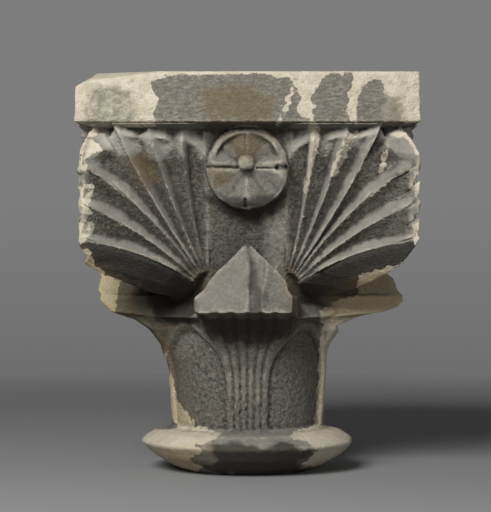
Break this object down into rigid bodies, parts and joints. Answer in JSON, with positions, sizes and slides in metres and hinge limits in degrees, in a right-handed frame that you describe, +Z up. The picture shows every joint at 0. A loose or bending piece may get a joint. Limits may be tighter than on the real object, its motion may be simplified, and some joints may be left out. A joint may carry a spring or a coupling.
{
  "type": "column capital",
  "caption": "Square carved limestone column capital with fan leaves folded over its corners, rosettes, broken tongues, a reeded round neck and an astragal.",
  "frame": {"origin": "centre of the round underside that sits on the column shaft", "axes": "+Z up along the column's axis, +X to the right of the front face, which looks along -Y"},
  "size_m": [0.3172, 0.3172, 0.381],
  "materials": {
    "limestone": "weathered cream limestone under a warm grey patina, matt and finely pitted"
  },
  "bodies": {
    "root": {"capital": "limestone"}
  },
  "joints": []
}
